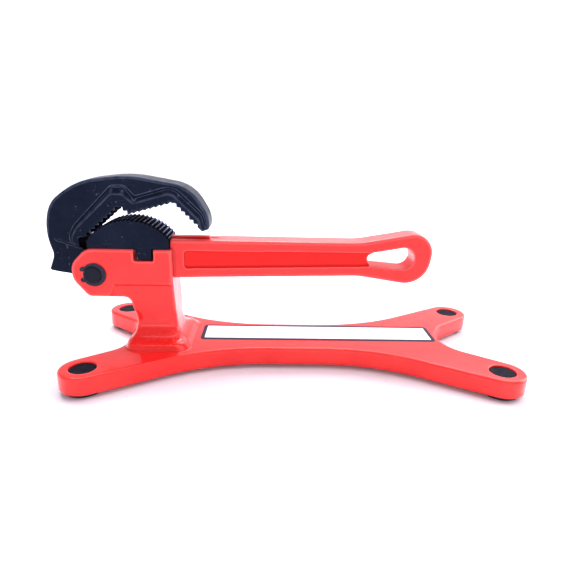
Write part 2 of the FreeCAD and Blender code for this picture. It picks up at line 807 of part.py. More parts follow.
def cut_throat(body):
    """Open the two V throats, then cut their rows of teeth."""
    outer_x = size("pin_x") + size("outer_apex_x")
    outer_z = size("pin_z") + size("outer_apex_z")
    inner_x = size("pin_x") + size("inner_apex_x")
    inner_z = size("pin_z") + size("inner_apex_z")
    right = math.radians(size("right_arm_angle").value)
    left = math.radians(size("left_arm_angle").value)
    inner = math.radians(size("inner_arm_angle").value)
    pitch = size("tooth_pitch")
    reach = 60.0
    throat = new_sketch(body, "throat_side", "XZ_Plane")
    outline(throat, [
        corner(outer_x, outer_z),
        corner(outer_x + pitch * (8.05 * math.cos(left)), outer_z + pitch * (8.05 * math.sin(left))),
        corner(inner_x, inner_z),
        corner(inner_x + pitch * (8.1 * math.cos(inner)), inner_z + pitch * (8.1 * math.sin(inner))),
        corner(size("pin_x") - 10.2, size("pin_z") + 32.5),
        corner(size("pin_x") - 9.8, size("pin_z") + 21.0),
        corner(outer_x + reach * math.cos(right), size("pin_z") + 21.0),
        corner(outer_x + reach * math.cos(right), outer_z + reach * math.sin(right)),
    ])
    extrude(body, "Pocket", "throat", throat, size("band_half_width") * 3.0)
    rows = (
        ("right_arm", outer_x, outer_z, 1.0),
        ("left_arm", outer_x, outer_z, -1.0),
        ("inner_arm", inner_x, inner_z, -1.0),
        ("saddle_arm", inner_x, inner_z, 1.0),
    )
    for name, x, z, metal in rows:
        add_teeth(body, name, x, z, metal)


def add_teeth(body, name, x, z, metal):
    """A row of V grooves from a throat's apex. metal is 1 where the jaw lies left of the row."""
    pitch, depth = size("tooth_pitch"), size("tooth_depth") * metal
    groove = new_sketch(body, name + "_groove_side", "XZ_Plane", (x, z, 0.0), size(name + "_angle"))
    lift = -0.4 * metal
    outline(groove, [
        corner(pitch * 0.05, lift),
        corner(pitch * 0.95, lift),
        corner(pitch * 0.5, depth, size("tooth_valley_radius")),
    ])
    first = extrude(body, "Pocket", name + "_groove", groove, size("band_half_width") * 3.0)
    linear_pattern(body, name + "_teeth", first, groove, pitch, size(name + "_teeth"))


def cut_pivot(body):
    """The pin's bore, and the recess in the front of the shank that holds the torsion spring."""
    pin_x, pin_z = size("pin_x"), size("pin_z")
    bore = new_sketch(body, "hook_bore_side", "XZ_Plane")
    circle(bore, pin_x, pin_z, size("pin_radius") + size("pin_clearance"))
    extrude(body, "Pocket", "hook_bore", bore, size("shank_half_width") * 4.0)
    recess = new_sketch(body, "spring_recess_side", "XZ_Plane", (0.0, 0.0, size("shank_half_width")))
    circle(recess, pin_x, pin_z, size("spring_recess_radius"))
    depth = size("spring_recess_depth")
    extrude(body, "Pocket", "spring_recess", recess, depth, both_sides=False, towards_normal=False)
    floor = size("shank_half_width") - depth
    hole = new_sketch(body, "hook_leg_side", "XZ_Plane", (0.0, 0.0, floor))
    circle(hole, pin_x + size("spring_coil_radius"), pin_z, size("spring_hole_radius"))
    extrude(body, "Pocket", "hook_leg_hole", hole, size("spring_leg_length"),
            both_sides=False, towards_normal=False)


def make_hook_jaw():
    body = make_body("hook_jaw")
    add_blank(body)
    add_band(body)
    relieve_shank(body)
    add_stop_lug(body)
    cut_throat(body)
    cut_pivot(body)


def make_heel_jaw():
    """Toothed block on the head, with a key that drops into the keyway."""
    body = make_body("heel_jaw")
    side = new_sketch(body, "heel_side", "XZ_Plane")
    high = size("heel_arc_z") + size("heel_arc_radius") + 2.0
    outline(side, [
        corner(size("heel_left_x"), size("head_top")),
        corner(size("key_left_x") - size("key_slant"), size("head_top")),
        corner(size("key_left_x"), size("key_bottom")),
        corner(size("key_right_x"), size("key_bottom")),
        corner(size("key_right_x"), size("head_top")),
        corner(size("heel_right_x"), size("head_top")),
        corner(size("heel_right_x"), high),
        corner(size("heel_left_x"), high),
    ])
    width = size("heel_half_width") * 2.0
    extrude(body, "Pad", "heel_block", side, width)
    crown = new_sketch(body, "heel_crown_side", "XZ_Plane")
    arc_x, arc_z, radius = size("heel_arc_x"), size("heel_arc_z"), size("heel_arc_radius")
    circle(crown, arc_x, arc_z, radius)
    circle(crown, arc_x, arc_z, radius * 2.0)
    extrude(body, "Pocket", "heel_crown", crown, width * 2.0)
    groove = new_sketch(body, "heel_groove_side", "XZ_Plane", (arc_x, arc_z, 0.0),
                        size("heel_tooth_start"))
    depth = size("heel_tooth_depth")
    lift = 0.4
    outline(groove, [
        corner(radius + lift, -(depth + lift)),
        corner(radius + lift, depth + lift),
        corner(radius - depth, 0.0, 0.3),
    ])
    first = extrude(body, "Pocket", "heel_groove", groove, width * 2.0)
    pattern = body.newObject("PartDesign::PolarPattern", "heel_teeth")
    pattern.Originals = [first]
    pattern.Axis = (groove, ["N_Axis"])
    pattern.Mode = "Spacing"
    bind(pattern, "Offset", size("heel_tooth_angle"))
    bind(pattern, "Occurrences", size("heel_tooth_count"))
    settle(body, pattern)
    hole = new_sketch(body, "heel_pin_hole_side", "XZ_Plane",
                      (size("spring_pin_x"), size("spring_pin_z"), 0.0), size("spring_pin_tilt"))
    outline(hole, rectangle_items(-size("spring_pin_length"), 0.0, 0.0, size("spring_pin_radius")))
    revolve(body, "Groove", "heel_pin_hole", hole, "H_Axis")


# ---------------------------------------------------------------- pins, rings and spring

def make_pivot_pin():
    """Shaft of the hook jaw, with a groove near each end for a retaining ring."""
    body = make_body("pivot_pin")
    half, radius = size("pin_half_length"), size("pin_radius")
    groove, chamfer = size("ring_groove_radius"), size("pin_chamfer")
    inner = size("head_half_width") + size("ring_gap") * 0.5
    outer = size("head_half_width") + size("ring_gap") * 1.5 + size("ring_thickness")
    right = [(half, 0.0), (half, radius - chamfer), (half - chamfer, radius), (outer, radius),
             (outer, groove), (inner, groove), (inner, radius)]
    left = [(-y, z) for y, z in reversed(right)]
    profile = new_sketch(body, "pin_profile", "YZ_Plane", (0.0, size("pin_z"), size("pin_x")))
    outline(profile, [corner(y, z) for y, z in right + left])
    revolve(body, "Revolution", "pin", profile, "H_Axis")


def make_retaining_ring(name, face):
    """Open ring with two drilled lugs. face is the Y of its front side."""
    body = make_body(name)
    pin_x, pin_z, thick = size("pin_x"), size("pin_z"), size("ring_thickness")
    lugs = ((pin_x + size("ring_lug_x"), pin_z + size("ring_lug_z")),
            (pin_x + size("ring_lug_x"), pin_z - size("ring_lug_z")))
    plane = (0.0, 0.0, -face)
    disc = new_sketch(body, name + "_outer", "XZ_Plane", plane)
    circle(disc, pin_x + size("ring_offset"), pin_z, size("ring_outer_radius"))
    extrude(body, "Pad", name + "_disc", disc, thick, both_sides=False)
    for index, (x, z) in enumerate(lugs):
        sketch = new_sketch(body, name + "_lug_side_" + str(index), "XZ_Plane", plane)
        circle(sketch, x, z, size("ring_lug_radius"))
        extrude(body, "Pad", name + "_lug_" + str(index), sketch, thick, both_sides=False)
    inside = new_sketch(body, name + "_inner", "XZ_Plane", plane)
    circle(inside, pin_x, pin_z, size("ring_groove_radius") + size("pin_clearance"))
    for x, z in lugs:
        circle(inside, x, z, size("ring_lug_hole_radius"))
    extrude(body, "Pocket", name + "_holes", inside, thick * 3.0)
    opening = new_sketch(body, name + "_gap", "XZ_Plane", plane)
    half = size("ring_opening_half")
    outline(opening, rectangle_items(pin_x - 20.0, pin_x - 4.0, pin_z - half, pin_z + half))
    extrude(body, "Pocket", name + "_opening", opening, thick * 3.0)


def make_spring_pin():
    """Slotted spring pin, driven down through the handle's root into the heel jaw's key."""
    body = make_body("heel_jaw_pin")
    bind(body, "Placement.Base.x", size("base_shift_x") + size("spring_pin_x"))
    bind(body, "Placement.Base.z", size("spring_pin_z"))
    body.Placement.Rotation = FreeCAD.Rotation(FreeCAD.Vector(0, 1, 0), -sheet_values["spring_pin_tilt"])
    section = new_sketch(body, "spring_pin_section", "YZ_Plane", (0.0, 0.0, -size("spring_pin_length")))
    circle(section, 0.0, 0.0, size("spring_pin_radius"))
    circle(section, 0.0, 0.0, size("spring_pin_bore"))
    extrude(body, "Pad", "spring_pin_tube", section, size("spring_pin_length"), both_sides=False)
    slit = new_sketch(body, "spring_pin_slit_section", "YZ_Plane")
    half = size("spring_pin_slit") * 0.5
    outline(slit, rectangle_items(-half, half, 0.0, size("spring_pin_radius") * 2.0))
    extrude(body, "Pocket", "spring_pin_slit", slit, size("spring_pin_length") * 4.0)


def make_jaw_spring():
    """Torsion spring round the pin: a helix of round wire with a straight leg at each end."""
    coil, wire = sheet_values["spring_coil_radius"], sheet_values["spring_wire_radius"]
    pitch, turns = sheet_values["spring_pitch"], sheet_values["spring_turns"]
    front = sheet_values["shank_half_width"] - wire - 0.4
    helix = Part.makeHelix(pitch, pitch * turns, coil)
    section = Part.Wire([Part.makeCircle(wire, FreeCAD.Vector(coil, 0, 0), FreeCAD.Vector(0, 1, 0))])
    shape = Part.Wire(helix.Edges).makePipeShell([section], True, True)
    leg = sheet_values["spring_leg_length"] + wire - 0.8
    up = FreeCAD.Vector(0, 0, 1)
    low_leg = Part.makeCylinder(wire, leg, FreeCAD.Vector(coil, 0, 0), -up)
    high_leg = Part.makeCylinder(wire, leg, FreeCAD.Vector(-coil, 0, pitch * turns), up)
    ends = [Part.makeSphere(wire, spot) for spot in (FreeCAD.Vector(coil, 0, 0),
                                                     FreeCAD.Vector(-coil, 0, pitch * turns))]
    feature = doc.addObject("Part::Feature", "jaw_spring")
    feature.Label = "jaw_spring"
    feature.Shape = shape.fuse([low_leg, high_leg] + ends)
    # The coil's axis turns from +Z to +Y, and its first leg points at the front ear.
    feature.Placement = FreeCAD.Placement(
        FreeCAD.Vector(0, -front, 0),
        FreeCAD.Rotation(FreeCAD.Vector(-1, 0, 0), FreeCAD.Vector(0, 0, -1), FreeCAD.Vector(0, 1, 0)))
    bind(feature, "Placement.Base.x", size("base_shift_x") + size("pin_x"))
    bind(feature, "Placement.Base.z", size("pin_z"))


# ---------------------------------------------------------------- feet and label

def make_foot(name, x, y):
    """Rubber bumper: a plug in the leg's hole with a wider flange under the leg."""
    body = make_body(name)
    plug, flange = size("foot_plug_radius"), size("foot_flange_radius")
    chamfer, drop, high = size("foot_chamfer"), size("foot_drop"), size("foot_plug_height")
    profile = new_sketch(body, name + "_profile", "XZ_Plane", (x, 0.0, -y))
    outline(profile, [
        corner(0.0, 0.0),
        corner(flange - chamfer, 0.0),
        corner(flange, chamfer),
        corner(flange, drop),
        corner(plug, drop),
        corner(plug, high - chamfer),
        corner(plug - chamfer, high),
        corner(0.0, high),
    ])
    revolve(body, "Revolution", name + "_turned", profile, "V_Axis")


def make_label():
    body = make_body("label")
    plan = new_sketch(body, "label_plan", "XY_Plane",
                      (0.0, 0.0, size("foot_drop") + size("base_thickness")))
    outline(plan, rectangle_items(size("label_left_x"), size("label_right_x"),
                                  size("label_front_y"), size("label_back_y"),
                                  size("label_corner_radius")))
    extrude(body, "Pad", "label_sheet", plan, size("label_thickness"), both_sides=False)


# ---------------------------------------------------------------- build, check and write

def build():
    fill_sheet()
    make_vise_body()
    make_hook_jaw()
    make_heel_jaw()
    make_pivot_pin()
    ring_face = size("head_half_width") + size("ring_gap")
    make_retaining_ring("retaining_ring_front", -ring_face)
    make_retaining_ring("retaining_ring_rear", ring_face + size("ring_thickness"))
    make_spring_pin()
    make_jaw_spring()
    for end, x in (("left", -size("foot_x")), ("right", size("foot_x"))):
        make_foot("rubber_foot_front_" + end, x, -size("foot_y"))
        make_foot("rubber_foot_rear_" + end, x, size("foot_y"))
    make_label()
    doc.recompute()


def sub_parts():
    return [item for item in doc.Objects if item.TypeId in ("PartDesign::Body", "Part::Feature")
            and item.getParentGeoFeatureGroup() is None]


def check():
    for item in doc.Objects:
        if {"Invalid", "Error"} & set(item.State):
            raise RuntimeError(item.Name + " is " + str(item.State))
    for part in sub_parts():
        shape = part.Shape
        if shape.isNull() or not shape.isValid() or len(shape.Solids) != 1:
            raise RuntimeError(part.Label + " is not one valid solid")


def write():
    os.makedirs("parts", exist_ok=True)
    for part in sub_parts():
        part.Shape.exportStep(os.path.join("parts", part.Label + ".step"))


build()
check()
write()
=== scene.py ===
"""The looks of the bench pipe vise: cast red body, forged black jaws, rubber feet and a blank label."""

import math

import bmesh
import bpy
import numpy as np
from mathutils import Matrix, Vector


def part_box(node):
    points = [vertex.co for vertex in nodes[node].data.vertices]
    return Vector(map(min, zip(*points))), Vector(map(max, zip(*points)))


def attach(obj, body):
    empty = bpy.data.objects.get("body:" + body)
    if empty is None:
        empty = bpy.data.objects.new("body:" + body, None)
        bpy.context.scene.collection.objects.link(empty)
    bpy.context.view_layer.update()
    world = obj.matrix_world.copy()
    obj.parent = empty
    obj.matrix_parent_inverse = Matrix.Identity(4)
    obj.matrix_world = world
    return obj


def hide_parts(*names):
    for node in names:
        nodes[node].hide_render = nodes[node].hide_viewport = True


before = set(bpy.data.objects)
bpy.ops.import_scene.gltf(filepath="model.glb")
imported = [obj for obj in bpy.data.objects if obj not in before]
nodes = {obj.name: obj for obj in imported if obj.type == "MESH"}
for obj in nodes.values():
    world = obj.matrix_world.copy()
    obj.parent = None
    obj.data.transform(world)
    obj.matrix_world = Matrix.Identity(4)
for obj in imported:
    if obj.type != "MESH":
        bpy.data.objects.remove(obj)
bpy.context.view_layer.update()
MM = 0.001


# ---------------------------------------------------------------- node helpers

class Graph:
    """A material's node tree, with short calls to add and join nodes."""

    def __init__(self, name):
        self.material = bpy.data.materials.new(name)
        self.material.use_nodes = True
        self.tree = self.material.node_tree
        self.tree.nodes.clear()
        self.shader = self.add("ShaderNodeBsdfPrincipled")
        output = self.add("ShaderNodeOutputMaterial")
        self.join(self.shader.outputs[0], output.inputs["Surface"])
        self.place = self.add("ShaderNodeTexCoord").outputs["Object"]

    def add(self, kind, **values):
        node = self.tree.nodes.new(kind)
        for key, value in values.items():
            setattr(node, key, value)
        return node

    def join(self, source, target):
        self.tree.links.new(source, target)

    def put(self, node, name, value):
        """Sets an input by name, either to a constant or from another node's output."""
        socket = node.inputs[name]
        if isinstance(value, bpy.types.NodeSocket):
            self.join(value, socket)
        else:
            socket.default_value = value

    def surface(self, **values):
        for key, value in values.items():
            self.put(self.shader, key.replace("_", " "), value)

    def stretched(self, scale, turn=(0.0, 0.0, 0.0)):
        node = self.add("ShaderNodeMapping")
        self.put(node, "Vector", self.place)
        self.put(node, "Scale", scale)
        self.put(node, "Rotation", turn)
        return node.outputs[0]

    def noise(self, scale, detail=2.0, roughness=0.5, vector=None):
        node = self.add("ShaderNodeTexNoise")
        self.put(node, "Vector", vector or self.place)
        self.put(node, "Scale", scale)
        self.put(node, "Detail", detail)
        self.put(node, "Roughness", roughness)
        return node.outputs["Fac"]

    def ramp(self, value, low, high, to_low=0.0, to_high=1.0):
        """Maps value from low..high to to_low..to_high, clamped."""
        node = self.add("ShaderNodeMapRange")
        self.put(node, "Value", value)
        self.put(node, "From Min", low)
        self.put(node, "From Max", high)
        self.put(node, "To Min", to_low)
        self.put(node, "To Max", to_high)
        return node.outputs[0]

    def math(self, operation, a, b):
        node = self.add("ShaderNodeMath", operation=operation)
        for index, value in enumerate((a, b)):
            if isinstance(value, bpy.types.NodeSocket):
                self.join(value, node.inputs[index])
            else:
                node.inputs[index].default_value = value
        return node.outputs[0]

    def blend(self, share, first, second):
        """A colour between first and second."""
        node = self.add("ShaderNodeMix", data_type="RGBA")
        self.put(node, "Factor", share)
        for index, value in ((6, first), (7, second)):
            if isinstance(value, bpy.types.NodeSocket):
                self.join(value, node.inputs[index])
            else:
                node.inputs[index].default_value = (*value, 1.0)
        return node.outputs[2]

    def edges(self, low, high):
        """1 on outer edges, 0 on flats, from the mesh's own curvature."""
        return self.ramp(self.add("ShaderNodeNewGeometry").outputs["Pointiness"], low, high)

    def stored(self, name):
        """A value stored on the mesh's points."""
        return self.add("ShaderNodeAttribute", attribute_name=name).outputs["Fac"]

    def relief(self, low, high):
        """0 where the mesh stands low mm out of its surroundings, 1 at high mm. Hollows are negative."""
        return self.ramp(self.stored("relief"), low, high)

    def bump(self, *layers):
        """Layers of (height, distance in metres, strength), each on top of the one before."""
        normal = None
        for height, distance, strength in layers:
            node = self.add("ShaderNodeBump")
            self.put(node, "Height", height)
            self.put(node, "Distance", distance)
            self.put(node, "Strength", strength)
            if normal is not None:
                self.join(normal, node.inputs["Normal"])
            normal = node.outputs[0]
        self.join(normal, self.shader.inputs["Normal"])


def red_paint():
    g = Graph("red_enamel")
    cloud = g.noise(28.0, 3.0)
    thin = g.relief(0.06, 0.25)
    paint = g.blend(g.ramp(cloud, 0.35, 0.65), (0.86, 0.015, 0.013), (0.93, 0.022, 0.018))
    # Painted shade: creases and hollows are darkened to deep red.
    dark = g.relief(-0.07, -0.24)
    paint = g.blend(g.math("MULTIPLY", dark, 0.55), paint, (0.50, 0.004, 0.004))
    # Painted highlight: convex edges turn pale pink.
    paint = g.blend(g.math("MULTIPLY", thin, 0.45), paint, (0.98, 0.150, 0.145))
    # Painted shade: the handle panels and the inside of the eye are darker, and they also get less coat.
    recess_shade = g.stored("recess_shade")
    paint = g.blend(g.math("MULTIPLY", recess_shade, 0.8), paint, (0.84, 0.007, 0.005))
    ripples = g.math("MULTIPLY", g.noise(115.0, 2.0, 0.6), g.stored("dressed"))
    g.surface(Base_Color=paint, Roughness=g.ramp(g.noise(90.0, 3.0), 0.3, 0.7, 0.30, 0.42))
    g.surface(Specular_IOR_Level=0.16, Coat_Weight=g.ramp(recess_shade, 0.0, 1.0, 0.9, 0.15))
    g.surface(Coat_Roughness=0.05, Coat_IOR=1.37)
    g.bump((g.noise(48.0, 1.0), 0.0010, 0.16), (g.noise(110.0, 1.0), 0.0003, 0.35),
           (ripples, 0.0050, 0.5), (g.noise(300.0, 2.0), 0.00006, 0.4))
    return g.material


def scratches(g, scale, turn, low, high):
    """Fine straight lines: noise stretched a hundredfold along one direction."""
    return g.ramp(g.noise(1.0, 2.0, 0.6, vector=g.stretched(scale, turn)), low, high)


def black_forging():
    g = Graph("black_forging")
    patch = g.noise(45.0, 4.0, 0.6)
    tone = g.blend(g.ramp(patch, 0.35, 0.7), (0.0034, 0.0052, 0.0150), (0.0075, 0.0100, 0.0235))
    marks = g.math("MAXIMUM", scratches(g, (40.0, 900.0, 1500.0), (0.2, 0.9, 0.1), 0.70, 0.80),
                   scratches(g, (1500.0, 900.0, 60.0), (0.1, 0.5, 0.4), 0.71, 0.80))
    speck = g.ramp(g.noise(330.0, 2.0), 0.68, 0.75)
    patchy = g.ramp(g.noise(160.0, 3.0), 0.30, 0.55, 0.35, 1.0)
    # Painted highlight: pale bluish lines along the ridges, in patches.
    ridge_highlight = g.math("MULTIPLY", g.relief(0.022, 0.07), patchy)
    # Painted highlight: pale bluish lines along shallow fillets such as the band's foot, in patches.
    shallow = g.math("MULTIPLY", g.relief(-0.022, -0.04), g.relief(-0.10, -0.06))
    fillet_highlight = g.math("MULTIPLY", shallow, patchy)
    light = g.math("MAXIMUM", g.math("MULTIPLY", marks, 0.5), g.math("MULTIPLY", speck, 0.55))
    tone = g.blend(light, tone, (0.15, 0.17, 0.23))
    tone = g.blend(g.math("MULTIPLY", ridge_highlight, 0.35), tone, (0.10, 0.12, 0.19))
    tone = g.blend(g.math("MULTIPLY", fillet_highlight, 0.55), tone, (0.10, 0.12, 0.19))
    # Painted shade: deeper hollows turn near black.
    hollow_shade = g.math("MULTIPLY", g.relief(-0.05, -0.16), 0.6)
    tone = g.blend(hollow_shade, tone, (0.0006, 0.0006, 0.0015))
    g.surface(Base_Color=tone, Metallic=0.0)
    g.surface(Specular_IOR_Level=0.10, Specular_Tint=(0.56, 0.70, 1.0, 1.0))
    g.surface(Roughness=g.ramp(g.noise(120.0, 4.0), 0.3, 0.7, 0.26, 0.40))
    g.surface(Coat_Weight=0.03, Coat_Roughness=0.14, Coat_IOR=1.3)
    g.bump((g.noise(70.0, 2.0), 0.0008, 0.16), (g.noise(420.0, 3.0), 0.0001, 0.35),
           (marks, 0.00003, 0.5))
    return g.material


def toothed_forging():
    """The cut teeth: matt black and darker than the rest of the forging, as painted shade, with painted
    highlights along their crests.
    """
    g = Graph("black_forging_teeth")
    # Painted highlight: the tooth crests turn pale lavender.
    tooth_highlight = g.math("MULTIPLY", g.relief(0.07, 0.20), g.ramp(g.noise(260.0, 2.0), 0.30, 0.55, 0.5, 1.0))
    # Painted shade: the teeth are darker than the rest of the forging.
    tone = g.blend(g.noise(60.0, 3.0), (0.0012, 0.0014, 0.0035), (0.0030, 0.0035, 0.0080))
    tone = g.blend(tooth_highlight, tone, (0.33, 0.36, 0.58))
    g.surface(Base_Color=tone, Roughness=g.ramp(g.noise(120.0, 4.0), 0.3, 0.7, 0.70, 0.90))
    g.surface(Specular_IOR_Level=0.02)
    g.bump((g.noise(300.0, 3.0), 0.0001, 0.4))
    return g.material


def black_steel():
    g = Graph("black_oxide_steel")
    turned = g.noise(1.0, 2.0, vector=g.stretched((900.0, 60.0, 900.0)))
    tone = g.blend(turned, (0.007, 0.008, 0.015), (0.014, 0.015, 0.024))
    # Painted highlight: edges and chamfers are lighter.
    tone = g.blend(g.math("MULTIPLY", g.edges(0.54, 0.68), 0.20), tone, (0.14, 0.15, 0.21))
    g.surface(Base_Color=tone, Metallic=0.0, Roughness=g.ramp(turned, 0.3, 0.7, 0.30, 0.44))
    g.surface(Specular_IOR_Level=0.12, Specular_Tint=(0.82, 0.86, 1.0, 1.0))
    g.bump((turned, 0.00004, 0.5))
    return g.material


def spring_steel():
    g = Graph("oiled_spring_steel")
    film = g.noise(240.0, 3.0)
    tone = g.blend(film, (0.012, 0.012, 0.016), (0.035, 0.034, 0.036))
    g.surface(Base_Color=tone, Metallic=0.6, Roughness=g.ramp(film, 0.3, 0.7, 0.28, 0.45))
    g.bump((g.noise(900.0, 2.0), 0.00003, 0.5))
    return g.material


def rubber():
    g = Graph("moulded_rubber")
    tone = g.blend(g.noise(70.0, 4.0), (0.003, 0.0035, 0.008), (0.007, 0.008, 0.016))
    tone = g.blend(g.math("MULTIPLY", g.edges(0.53, 0.62), 0.5), tone, (0.06, 0.06, 0.065))
    g.surface(Base_Color=tone, Roughness=g.ramp(g.noise(160.0, 3.0), 0.3, 0.7, 0.50, 0.72))
    g.surface(Specular_IOR_Level=0.08, Specular_Tint=(0.6, 0.7, 1.0, 1.0))
    g.bump((g.noise(700.0, 3.0), 0.0001, 0.5))
    return g.material


def label_vinyl(name, light, dark):
    g = Graph(name)
    g.surface(Base_Color=g.blend(g.noise(60.0, 3.0), light, dark), Specular_IOR_Level=0.12)
    g.surface(Roughness=g.ramp(g.noise(200.0, 2.0), 0.3, 0.7, 0.30, 0.42))
    g.bump((g.noise(18.0, 1.0), 0.0006, 0.2), (g.noise(900.0, 2.0), 0.00002, 0.5))
    return g.material


# ---------------------------------------------------------------- mesh helpers

def evaluated_copy(obj, name):
    """A new object with obj's mesh as its modifiers leave it."""
    graph = bpy.context.evaluated_depsgraph_get()
    mesh = bpy.data.meshes.new_from_object(obj.evaluated_get(graph))
    made = bpy.data.objects.new(name, mesh)
    bpy.context.scene.collection.objects.link(made)
    return made


def remeshed(node, name, voxel):
    """A closed, evenly meshed copy of a CAD node. voxel is in mm."""
    source = bpy.data.objects.new(name + "_source", nodes[node].data.copy())
    bpy.context.scene.collection.objects.link(source)
    modifier = source.modifiers.new("even", "REMESH")
    modifier.mode = "VOXEL"
    modifier.voxel_size = voxel * MM
    made = evaluated_copy(source, name)
    bpy.data.objects.remove(source)
    return made


def points_of(obj):
    flat = np.zeros(len(obj.data.vertices) * 3)
    obj.data.vertices.foreach_get("co", flat)
    return flat.reshape(-1, 3)


def averaged(obj, points, pulls, weight=1.0):
    """The points after each pull towards, or push from, the mean of their neighbours."""
    pairs = np.zeros(len(obj.data.edges) * 2, dtype=np.int64)
    obj.data.edges.foreach_get("vertices", pairs)
    first, second = pairs[0::2], pairs[1::2]
    count = len(points)
    degree = np.bincount(first, minlength=count) + np.bincount(second, minlength=count)
    degree = np.maximum(degree, 1)
    points = points.copy()
    for pull in pulls:
        step = np.empty_like(points)
        for axis in range(3):
            column = points[:, axis]
            total = np.bincount(first, weights=column[second], minlength=count)
            total += np.bincount(second, weights=column[first], minlength=count)
            step[:, axis] = total / degree - column
        points += step * (pull * np.broadcast_to(weight, count))[:, None]
    return points


def relax(obj, rounds, weight=1.0, pushes_back=True):
    """Smooths a mesh. Each round pulls points together, and can then push back to keep the size."""
    pulls = ((0.55, -0.57) if pushes_back else (0.5,)) * rounds
    obj.data.vertices.foreach_set("co", averaged(obj, points_of(obj), pulls, weight).ravel())
    obj.data.update()


def store(obj, name, values):
    attribute = obj.data.attributes.new(name, "FLOAT", "POINT")
    attribute.data.foreach_set("value", np.asarray(values, dtype=np.float32))


def mark_relief(obj, rounds, ridges=1.0, hollows=1.0):
    """Stores how far each point stands out of its smoothed surroundings, in mm, as "relief".

    ridges and hollows scale what stands out and what lies low.
    """
    normals = np.zeros(len(obj.data.vertices) * 3)
    obj.data.vertices.foreach_get("normal", normals)
    points = points_of(obj)
    lift = ((points - averaged(obj, points, (0.5,) * rounds)) * normals.reshape(-1, 3)).sum(axis=1)
    store(obj, "relief", np.where(lift > 0, lift * ridges, lift * hollows) / MM)


def thin_out(obj, share):
    """Leaves that share of the faces, fewest where the surface is flat."""
    modifier = obj.modifiers.new("fewer", "DECIMATE")
    modifier.ratio = share
    made = evaluated_copy(obj, obj.name + "_thin")
    name = obj.name
    bpy.data.objects.remove(obj)
    made.name = name
    return made


def finish_piece(obj, body, material, slot, *replaced):
    obj.data.materials.clear()
    obj.data.materials.append(material)
    for polygon in obj.data.polygons:
        polygon.use_smooth = True
    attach(obj, body)
    if replaced:
        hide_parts(*replaced)


def zone(points, low, high, soft):
    """1 inside a box given in mm, falling to 0 over soft mm outside it."""
    low, high = np.array(low) * MM, np.array(high) * MM
    outside = np.maximum(low - points, 0) + np.maximum(points - high, 0)
    return np.clip(1.0 - np.linalg.norm(outside, axis=1) / (soft * MM), 0.0, 1.0)


PIVOT = (-166.4, 83.2)


def from_throat(points):
    """How far in mm each point lies from the line of the hook's toothed throat, seen from the side."""
    x, z = points[:, 0] / MM - PIVOT[0], points[:, 2] / MM - PIVOT[1]
    clear = np.full(len(points), 1e9)
    route = ((-8.0, 20.0), (-4.0, 34.0), (26.0, 62.0), (36.0, 52.0), (68.0, 62.0), (92.0, 40.0))
    for (ax, az), (bx, bz) in zip(route, route[1:]):
        along = ((x - ax) * (bx - ax) + (z - az) * (bz - az)) / ((bx - ax) ** 2 + (bz - az) ** 2)
        along = np.clip(along, 0.0, 1.0)
        clear = np.minimum(clear, np.hypot(x - ax - along * (bx - ax), z - az - along * (bz - az)))
    return clear


def band_zone(points):
    """1 on the hook's sides, clear of the toothed throat and the bore."""
    x, z = points[:, 0] / MM - PIVOT[0], points[:, 2] / MM - PIVOT[1]
    far = np.minimum(from_throat(points), np.hypot(x, z) - 16.0)
    return np.clip((far - 2.5) / 2.5, 0.0, 1.0)


def cut_faces(obj, material, reach):
    """Gives material to the faces across the hook's plane, within reach mm of the throat."""
    count = len(obj.data.polygons)
    centres, normals = np.zeros(count * 3), np.zeros(count * 3)
    obj.data.polygons.foreach_get("center", centres)
    obj.data.polygons.foreach_get("normal", normals)
    cut = (np.abs(normals[1::3]) < 0.7) & (from_throat(centres.reshape(-1, 3)) < reach)
    obj.data.materials.append(material)
    obj.data.polygons.foreach_set("material_index", cut.astype(np.int32))


# ---------------------------------------------------------------- pieces

# Boxes in mm, low corner and high corner.
FLARE = ((-142, -40, 27), (-80, 40, 46))
PANELS_AND_EYE = ((-86, -9.6, 89), (118, 9.6, 110))
DRESSED_FOOT = ((-140, -36, 24), (-84, 36, 31))


def mm_along(obj, axis):
    return points_of(obj)[:, axis] / MM


def rise(values, start, span, least=0.0):
    """0 at start and 1 at start plus span, but never under least."""
    return np.clip((values - start) / span, least, 1.0)


def make_casting(paint):
    """The one red casting, with the post's flare softened into the pad."""
    casting = remeshed("vise_body", "cast_body", 0.8)
    relax(casting, 4)
    relax(casting, 60, zone(points_of(casting), *FLARE, 8.0) ** 2, pushes_back=False)
    mark_relief(casting, 14, rise(mm_along(casting, 2), 40.0, 15.0, 0.25))
    # The handle panels and the eye, which get painted shade.
    store(casting, "recess_shade", zone(points_of(casting), *PANELS_AND_EYE, 1.2))
    dressed = zone(points_of(casting), *DRESSED_FOOT, 6.0)
    store(casting, "dressed", dressed * rise(np.abs(mm_along(casting, 1)), 19.0, 3.0))
    casting = thin_out(casting, 0.45)
    finish_piece(casting, "frame", paint, "red_paint", "vise_body")


def make_hook(forging, teeth):
    """The forged hook: painted highlights along its raised band, less on the shank and in the throat."""
    hook = remeshed("hook_jaw", "forged_hook", 0.5)
    relax(hook, 1)
    relax(hook, 5, band_zone(points_of(hook)), pushes_back=False)
    height = mm_along(hook, 2)
    # Strength of the painted ridge highlights: full on the upper band, weak on the shank.
    ridge_highlight = 0.15 + 0.85 * rise(height, 112.0, 10.0)
    throat = rise(from_throat(points_of(hook)), 0.0, 7.0, 0.3)
    mark_relief(hook, 16, ridge_highlight * throat, rise(height, 103.0, 2.0))
    finish_piece(hook, "hook", forging, "black_forging", "hook_jaw")
    cut_faces(hook, teeth, 7.0)


